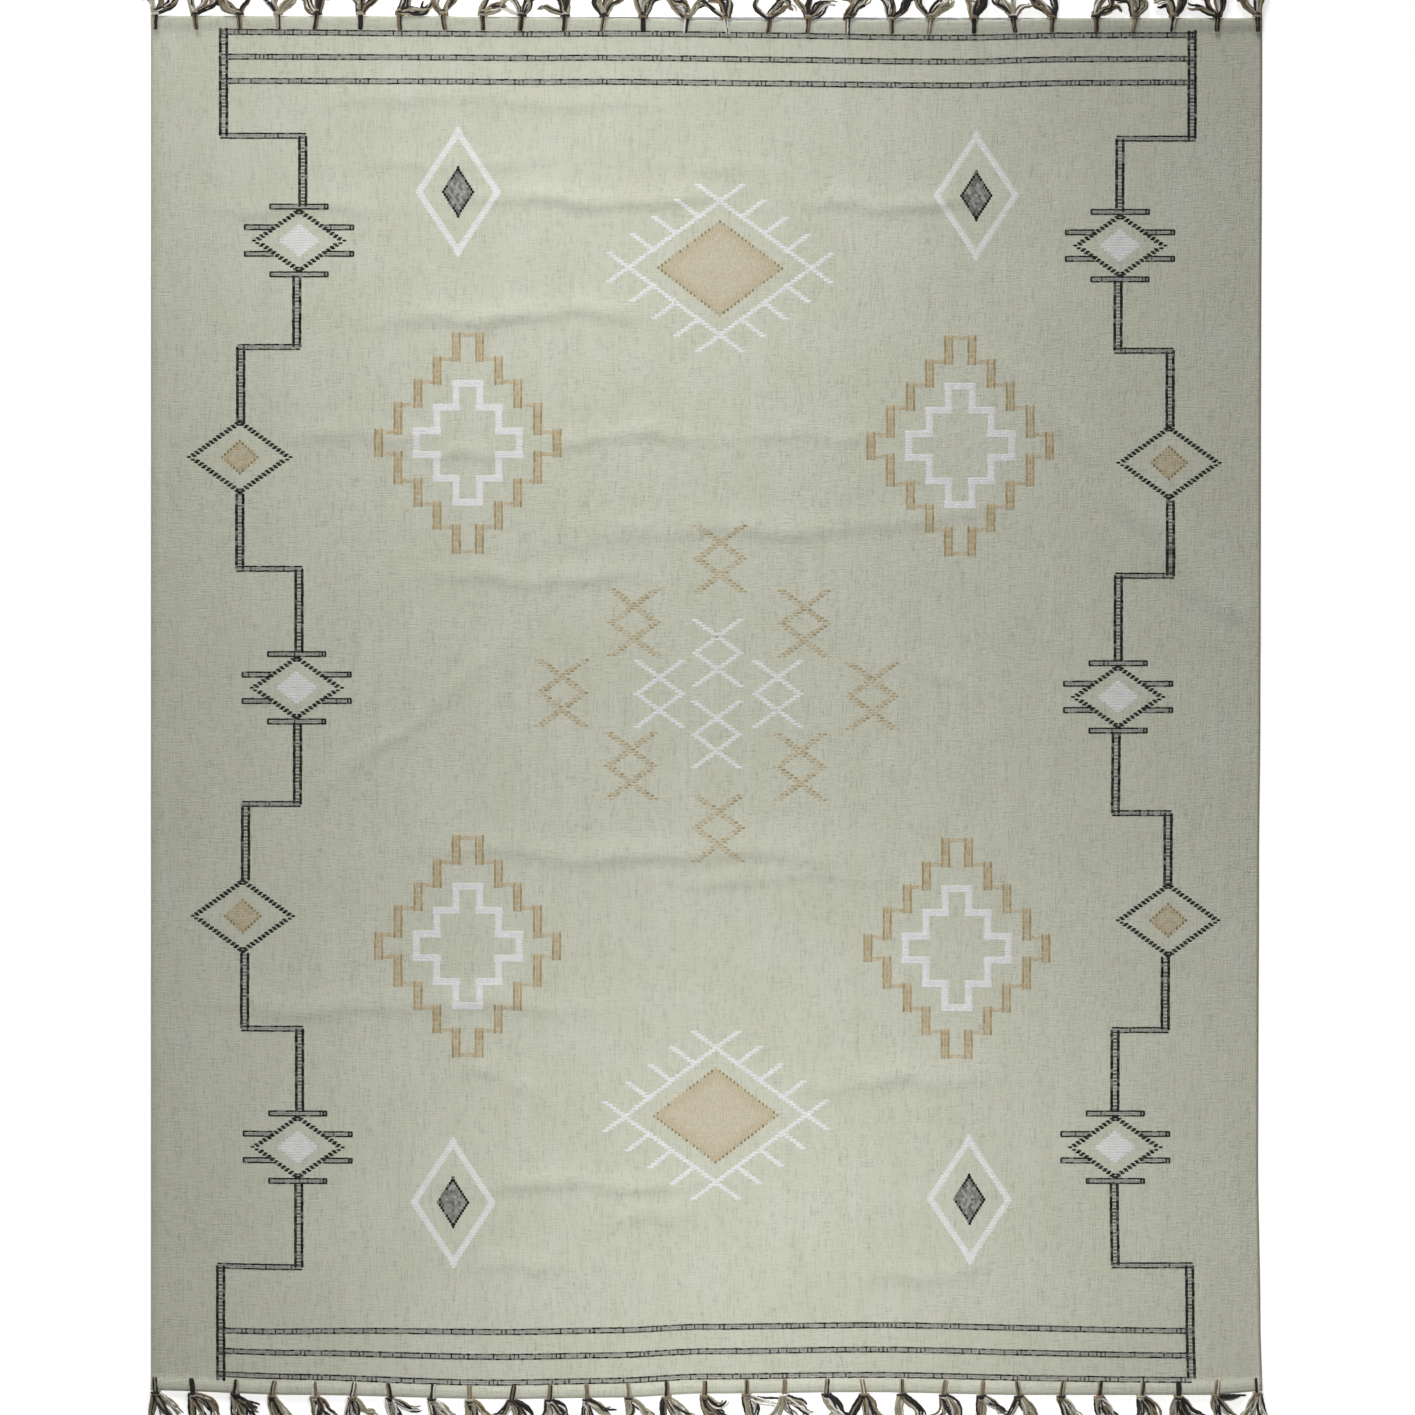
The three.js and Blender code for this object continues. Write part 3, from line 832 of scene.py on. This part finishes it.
class RUG_OT_inlay_camel(Operator):
    """Inlay the camel lozenges, crossed figures and stepped frames"""
    bl_idname = "rug.inlay_camel"
    bl_label = "Inlay Camel Figures"

    def execute(self, context):
        cloth, figures = context.scene.rug_cloth, context.scene.rug_figures
        inlay = Inlay(31, figures.row / MM)
        for inlay.centre in COMB_LOZENGES:
            inlay.lozenge(COMB_CORE, CAMEL_COLUMN, (0.84, 1.0), (0.1, 0.48), 0.3)
        for inlay.centre in PLAIN_LOZENGES:
            inlay.lozenge(PLAIN_CORE, CAMEL_COLUMN, (0.62, 0.95), (0.15, 0.5), 0.4)
        strokes = ((-CAMEL_SHIFT, (0.5, 1.0)), (CAMEL_SHIFT, (0.3, 0.9)))
        for inlay.centre in CAMEL_CROSSED:
            crossed_lozenge(inlay, CAMEL_RUN, CAMEL_COVER, *strokes)
        for inlay.centre in MEDALLIONS:
            self.stepped_frame(inlay)
        yarn = inlay_yarn("camel wool, inlaid yarn", figures.olive, figures.camel, figures.camel_pale)
        inlay.build("figures_camel", yarn, figures, cloth)
        return {"FINISHED"}

    @staticmethod
    def stepped_frame(inlay):
        """A stepped frame: railed bars along the rug, joined by thinner ones across it."""
        def upright(x, y0, y1):
            for y in middles(min(y0, y1) - FRAME_OVERRUN, max(y0, y1) + FRAME_OVERRUN, FRAME_PITCH):
                for side in (-1, 1):
                    inlay.lay(x + side * FRAME_RAIL_SHIFT + inlay.tone(-0.5, 0.5), y, *FRAME_RAIL,
                              inlay.tone(0.26, 0.6), 0.8, True)
                inlay.lay(x, y, *FRAME_FILL, inlay.tone(0.58, 0.88), 0.6, True)

        def across(x0, x1, y):
            for x in middles(min(x0, x1), max(x0, x1), BEAD):
                for row in (-1, 1):
                    inlay.lay(x, y + row * FRAME_TIE_SHIFT, BEAD * 1.25, FRAME_TIE_WIDTH,
                              inlay.tone(0.65, 1.0), 0.4)

        stepped_outline(OUTER_STEPS, upright, across)


# Tassels, in millimetres

TASSEL_MARGIN = 11.0
TASSEL_JITTER = 5.0
HOLE_INSET = 28.0
HOLE_DEPTH = 4.6
KNOT_TURNS = 3
KNOT_START = 4.1
KNOT_PITCH = 4.0
KNOT_HALF = 8.4
KNOT_NARROWING = 0.7
LOOP_OFFSETS = (-2.9, 0.0, 2.9)
LOCKS = 4
LOCK_LENGTH = 72.0
LOCK_LENGTH_SPREAD = 12.0
LOCK_SPACING = 3.6
LEAN_SPREAD = math.radians(12)
CORNER_LEAN = math.radians(24)
STRAND_STEPS = 14
STRAND_SIDES = 6

# Mixes of yarn in a lock: shares of camel, black, cream and sage
MIXES = [(0.1, 0.18, 0.08, 0.64), (0.14, 0.56, 0.1, 0.2), (0.4, 0.3, 0.08, 0.22), (0.1, 0.22, 0.48, 0.2)]

# Each end's tassels: number of the first, which way they face and how their locks lie. The lean, the fan
# between locks, the spread of turn and curl and the swing are in radians, the yarns' spacing in millimetres.
ENDS = [
    {"name": "far", "count": 28, "edge": FAR_EDGE, "first": 1, "facing": 1, "lean": math.radians(14),
     "fan": 0.36, "turn": 0.42, "curl": 0.95, "swing": (0.7, 1.35), "spacing": 1.0,
     "mix_chances": (0.18, 0.28, 0.38, 0.16)},
    {"name": "near", "count": 29, "edge": NEAR_EDGE, "first": 101, "facing": -1, "lean": math.radians(-28),
     "fan": 0.23, "turn": 0.0, "curl": 0.55, "swing": (0.35, 0.85), "spacing": 1.5,
     "mix_chances": (0.34, 0.26, 0.16, 0.24)},
]


def end_reach(edge, x):
    """Where the cloth's end lies across it, straight between the solid's columns."""
    step = WIDTH / EDGE_COLUMNS
    column = min(EDGE_COLUMNS - 1, math.floor((x + WIDTH / 2) / step))
    left = -WIDTH / 2 + column * step
    low, high = eased(edge, [left, left + step])
    return low + (high - low) * (x - left) / step


def tassel_places(end):
    """The tassels of one end: node number, x, y, number for its spread, and lean."""
    span = WIDTH - 2 * TASSEL_MARGIN
    for i in range(end["count"]):
        number = i + end["first"]
        corner = -1 if i == 0 else int(i == end["count"] - 1)
        jitter = 0 if corner else TASSEL_JITTER * uneven(number, 0)
        x = -span / 2 + i * span / (end["count"] - 1) + jitter
        lean = end["lean"] + LEAN_SPREAD * uneven(number, 1)
        if corner:
            lean = -corner * end["facing"] * CORNER_LEAN
        yield i + 1, x, end_reach(end["edge"], x), number, lean


class Yarns:
    """Yarn tubes gathered for one tassel, in millimetres, before they become one mesh."""

    def __init__(self):
        self.points, self.faces, self.colours, self.places = [], [], [], []
        self.count = 0

    def add(self, path, radius, colour_of, taper=0.45):
        """One yarn along a path of points, two-plied, narrowing at its far end."""
        path = np.asarray(path, float)
        steps = len(path)
        ahead = np.gradient(path, axis=0)
        ahead /= np.linalg.norm(ahead, axis=1, keepdims=True)
        side = np.cross(ahead, (0, 0, 1))
        flat = np.linalg.norm(side, axis=1, keepdims=True)
        side = np.where(flat > 0.2, side / np.maximum(flat, 1e-6), (1, 0, 0))
        up = np.cross(side, ahead)
        share = np.linspace(0, 1, steps)
        thick = radius * np.where(share > 0.8, 1 - taper * (share - 0.8) / 0.2, 1)
        angle = 2 * math.pi * np.arange(STRAND_SIDES) / STRAND_SIDES
        ply = 1 + 0.16 * np.cos(2 * (angle[None, :] - 14 * share[:, None]))
        ring = thick[:, None] * ply
        points = path[:, None, :] + ring[..., None] * (
            np.cos(angle)[None, :, None] * side[:, None, :] + np.sin(angle)[None, :, None] * up[:, None, :])
        points[..., 2] = np.maximum(points[..., 2], 0.05)
        first = sum(len(part) for part in self.points)
        number = first + np.arange(steps * STRAND_SIDES).reshape(steps, STRAND_SIDES)
        after = np.roll(number, -1, axis=1)
        quads = np.stack([number[:-1], after[:-1], after[1:], number[1:]], -1).reshape(-1, 4)
        self.faces += quads[:, ::-1].tolist()
        self.faces += [number[0].tolist(), number[-1, ::-1].tolist()]
        self.points.append(points.reshape(-1, 3))
        self.colours.append(np.tile(colour_of, (steps * STRAND_SIDES, 1)))
        around = np.linspace(0, 0.9, STRAND_SIDES)[None, :].repeat(steps, 0)
        lengthwise = share[:, None].repeat(STRAND_SIDES, 1)
        self.places.append(np.stack([self.count + around, lengthwise], -1).reshape(-1, 2))
        self.count += 1


class RUG_OT_tie_tassels(Operator):
    """Loop, knot and fan out the mixed yarn tassels along both ends"""
    bl_idname = "rug.tie_tassels"
    bl_label = "Tie Tassels"

    def execute(self, context):
        settings, cloth = context.scene.rug_tassels, context.scene.rug_cloth
        yarn = tassel_yarn()
        for end in ENDS:
            facing = end["facing"]
            for node, x, y, number, lean in tassel_places(end):
                yarns = self.tassel(settings, cloth, number, lean, end)
                points = np.concatenate(yarns.points) * (facing, facing, 1) + (x, facing * y, 0)
                name = f"tassel_{end['name']}_{node:02d}"
                piece = new_piece(f"yarn_{name}", points, yarns.faces, yarn)
                set_values(piece.data, "yarn_colour", np.concatenate(yarns.colours), "FLOAT_COLOR")
                corners, _ = corner_points(piece.data)
                places = np.concatenate(yarns.places) * (1 / yarns.count, 1)
                set_map(piece.data, places[corners])
                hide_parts(name)
        return {"FINISHED"}

    def tassel(self, settings, cloth, number, lean, end):
        """One tassel about its own place on the edge: Y runs outward from the hem."""
        chance = np.random.default_rng(500 + number)
        kinds = np.array([settings.camel, settings.black, settings.cream, settings.sage], float)
        radius = settings.yarn / MM / 2
        yarns = Yarns()

        def dye(weights):
            return kinds[chance.choice(len(kinds), p=weights)] * chance.uniform(0.85, 1.1)

        curl = chance.normal(0, end["curl"]) - 0.45 * lean
        turn = lean + chance.normal(0, end["turn"])
        self.loops(yarns, chance, dye, radius, cloth)
        self.knot(yarns, chance, dye, radius)
        for index in range(LOCKS):
            self.lock(yarns, chance, dye, radius, number, index, (turn, curl), end, settings.strands)
        return yarns

    @staticmethod
    def loops(yarns, chance, dye, radius, cloth):
        """Yarns over the hem, down the hole and back under the hem."""
        top = cloth.hem_thickness / MM
        hole = -HOLE_INSET - HOLE_DEPTH / 2
        lean = chance.uniform(-5, 5)
        for offset in LOOP_OFFSETS:
            lift = chance.uniform(0.7, 1.5)
            sway = chance.uniform(-1.2, 1.2)
            path = [
                (offset, 8, 5), (offset, 3, top + 1.6), (offset, -3, top + lift),
                (offset + sway + lean * 0.4, -14, top + lift),
                (offset + sway * 0.6 + lean * 0.8, -24, top + lift * 0.8),
                (offset * 0.8 + lean, hole + 1.5, top - 0.6), (offset * 0.8 + lean, hole, 3.6),
                (offset * 0.8 + lean, hole + 1.8, 1.9), (offset, -20, 1.8), (offset, 0, 1.8),
                (offset, 8, 3.5)]
            yarns.add(path, radius * 0.9, dye((0.34, 0.48, 0.06, 0.12)), 0.0)

    @staticmethod
    def knot(yarns, chance, dye, radius):
        """Turns of yarn round the bundle just outside the edge."""
        for turn in range(KNOT_TURNS):
            along = KNOT_START + turn * KNOT_PITCH + chance.uniform(-0.6, 0.6)
            slew = chance.uniform(-3.0, 3.0)
            size = KNOT_HALF - KNOT_NARROWING * turn + chance.uniform(-0.6, 0.6)
            angle = np.linspace(-0.25, math.pi + 0.25, 9)
            path = np.stack([size * np.cos(angle), along + slew * np.cos(angle) / 2,
                             2.0 + (8.2 - turn) * np.maximum(np.sin(angle), -0.1)], 1)
            yarns.add(path, radius * 1.15, dye((0.3, 0.34, 0.12, 0.24)), 0.0)

    @staticmethod
    def lock(yarns, chance, dye, radius, number, index, turns, end, strands):
        """One loose lock: yarns that leave the knot together, bend, wave and sink to the floor."""
        middle = index - (LOCKS - 1) / 2
        run = LOCK_LENGTH + LOCK_LENGTH_SPREAD * uneven(number * LOCKS + index, 2)
        heading = end["fan"] * middle + turns[0] + chance.normal(0, 0.24)
        bend, swing = turns[1] + chance.normal(0, 0.42), chance.uniform(*end["swing"])
        phase, waves = chance.uniform(0, 2 * math.pi), chance.uniform(0.6, 1.3)
        mix = MIXES[chance.choice(len(MIXES), p=end["mix_chances"])]
        for strand in range(strands):
            share = np.linspace(0, 1, STRAND_STEPS)
            frizz = chance.normal(0, 0.2) * share + chance.uniform(0.05, 0.25) * share * np.sin(
                chance.uniform(0, 6) + 2 * math.pi * chance.uniform(1, 2.2) * share)
            wave = swing * share * np.sin(phase + 2 * math.pi * waves * share)
            way = heading + bend * share ** 1.5 + wave + frizz
            step = run * chance.uniform(0.72, 1.02) / (STRAND_STEPS - 1)
            spread = 1.2 + 0.9 * np.sin(math.pi * np.minimum(share * 1.3, 1))
            aside = (strand - (strands - 1) / 2) * spread * end["spacing"]
            across = np.concatenate([[0], np.cumsum(np.sin(way[:-1]))])
            along = np.concatenate([[0], np.cumsum(np.cos(way[:-1]))])
            x = LOCK_SPACING * middle + step * across + aside * np.cos(way)
            y = chance.uniform(4, 9) + step * along - aside * np.sin(way)
            settle = smooth_step(share, 0.1, chance.uniform(0.5, 0.95))
            layer = radius + 0.1 + abs(chance.normal(0, 2.2))
            z = chance.uniform(4.0, 8.5) * (1 - settle) + layer * settle
            path = np.stack([x, np.maximum(y, 3.5), np.maximum(z, radius + 0.1)], 1)
            yarns.add(path, radius * chance.uniform(0.85, 1.15), dye(mix))


# Stage, in metres
FLOOR_HALF = 12.0
CAMERA_SHIFT = (0.0022, -0.0033)


class RUG_OT_set_stage(Operator):
    """Set the pale floor, the soft lights and the camera above the rug"""
    bl_idname = "rug.set_stage"
    bl_label = "Set Stage"

    def execute(self, context):
        stage = context.scene.rug_stage
        self.floor(stage)
        self.lights(context)
        camera = placed("camera", bpy.data.cameras.new("camera"), (*CAMERA_SHIFT, stage.height))
        camera.data.sensor_fit = "HORIZONTAL"
        camera.data.lens = camera.data.sensor_width * stage.height / stage.view_width
        camera.data.clip_end = 100
        context.scene.camera = camera
        return {"FINISHED"}

    @staticmethod
    def floor(stage):
        """A wide matt floor, bright enough to read as white."""
        half = FLOOR_HALF
        corners = [(-half, -half, 0), (half, -half, 0), (half, half, 0), (-half, half, 0)]
        mesh = bpy.data.meshes.new("studio_floor")
        mesh.from_pydata(corners, [], [(0, 1, 2, 3)])
        material, tree, shader, places = new_material("matt white paint, rolled floor", 0.85)
        mottle = streaks(tree, places, 900, 900)
        pale = tuple(stage.floor)
        tint = blended(tree, mottle, pale, tuple(0.97 * c for c in pale[:3]) + (1.0,))
        tree.links.new(tint, shader.inputs["Base Color"])
        shader.inputs["Emission Color"].default_value = (1, 1, 1, 1)
        shader.inputs["Emission Strength"].default_value = 0.62
        mesh.materials.append(material)
        placed("studio_floor", mesh)

    @staticmethod
    def lights(context):
        """Softboxes above the two ends and two corners, a soft low key and a pale surround."""
        # Name, place, size across and along, watts
        boxes = [
            ("far_corner_box", (-1.2, 1.75, 0.9), (0.6, 0.5), 1.8),
            ("near_corner_box", (1.25, -1.4, 0.9), (0.6, 0.5), 0.4),
            ("far_box", (-0.22, 1.16, 1.25), (1.0, 1.1), 9.3),
            ("near_box", (0.06, -1.15, 1.25), (0.8, 1.2), 9.4),
        ]
        for name, place, size, watts in boxes:
            light = bpy.data.lights.new(name, "AREA")
            light.shape = "RECTANGLE"
            light.size, light.size_y = size
            light.energy = watts
            placed(name, light, place).visible_camera = False
        key = bpy.data.lights.new("low_key", "SUN")
        key.energy = 2.5
        key.angle = math.radians(12)
        placed("low_key", key).rotation_euler = (math.radians(-75), 0, math.radians(12))
        world = bpy.data.worlds.new("pale surround")
        world.use_nodes = True
        tree = world.node_tree
        places = add_node(tree, "ShaderNodeTexCoord").outputs["Generated"]
        upward = add_node(tree, "ShaderNodeSeparateXYZ", links={0: places})
        overhead = add_node(tree, "ShaderNodeMapRange", {"From Min": 0.3, "From Max": 0.5},
                            {"Value": upward.outputs["Z"]})
        surround = blended(tree, overhead.outputs[0], (0.62, 0.62, 0.62, 1), (0.05, 0.05, 0.05, 1))
        tree.links.new(surround, tree.nodes["Background"].inputs["Color"])
        context.scene.world = world
        context.scene.view_settings.view_transform = "Standard"


class RUG_PT_panel(Panel):
    """Lists the steps that make the rug"""
    bl_label = "Flatweave Rug"
    bl_idname = "RUG_PT_panel"
    bl_space_type = "VIEW_3D"
    bl_region_type = "UI"
    bl_category = "Rug"

    def draw(self, context):
        for operator in OPERATORS:
            self.layout.operator(operator.bl_idname)


OPERATORS = (RUG_OT_set_stage, RUG_OT_weave_cloth, RUG_OT_inlay_border, RUG_OT_inlay_white,
             RUG_OT_inlay_camel, RUG_OT_tie_tassels)
SETTINGS = {"rug_cloth": RugClothSettings, "rug_figures": RugFigureSettings, "rug_tassels": RugTasselSettings,
            "rug_stage": RugStageSettings}


def register():
    for group in (*SETTINGS.values(), *OPERATORS, RUG_PT_panel):
        bpy.utils.register_class(group)
    for name, group in SETTINGS.items():
        setattr(bpy.types.Scene, name, PointerProperty(type=group))


def unregister():
    for name in SETTINGS:
        delattr(bpy.types.Scene, name)
    for group in (RUG_PT_panel, *reversed(OPERATORS), *reversed(tuple(SETTINGS.values()))):
        bpy.utils.unregister_class(group)


def main():
    register()
    bpy.ops.rug.set_stage()
    bpy.ops.rug.weave_cloth()
    bpy.ops.rug.inlay_border()
    bpy.ops.rug.inlay_white()
    bpy.ops.rug.inlay_camel()
    bpy.ops.rug.tie_tassels()


if __name__ == "__main__":
    main()
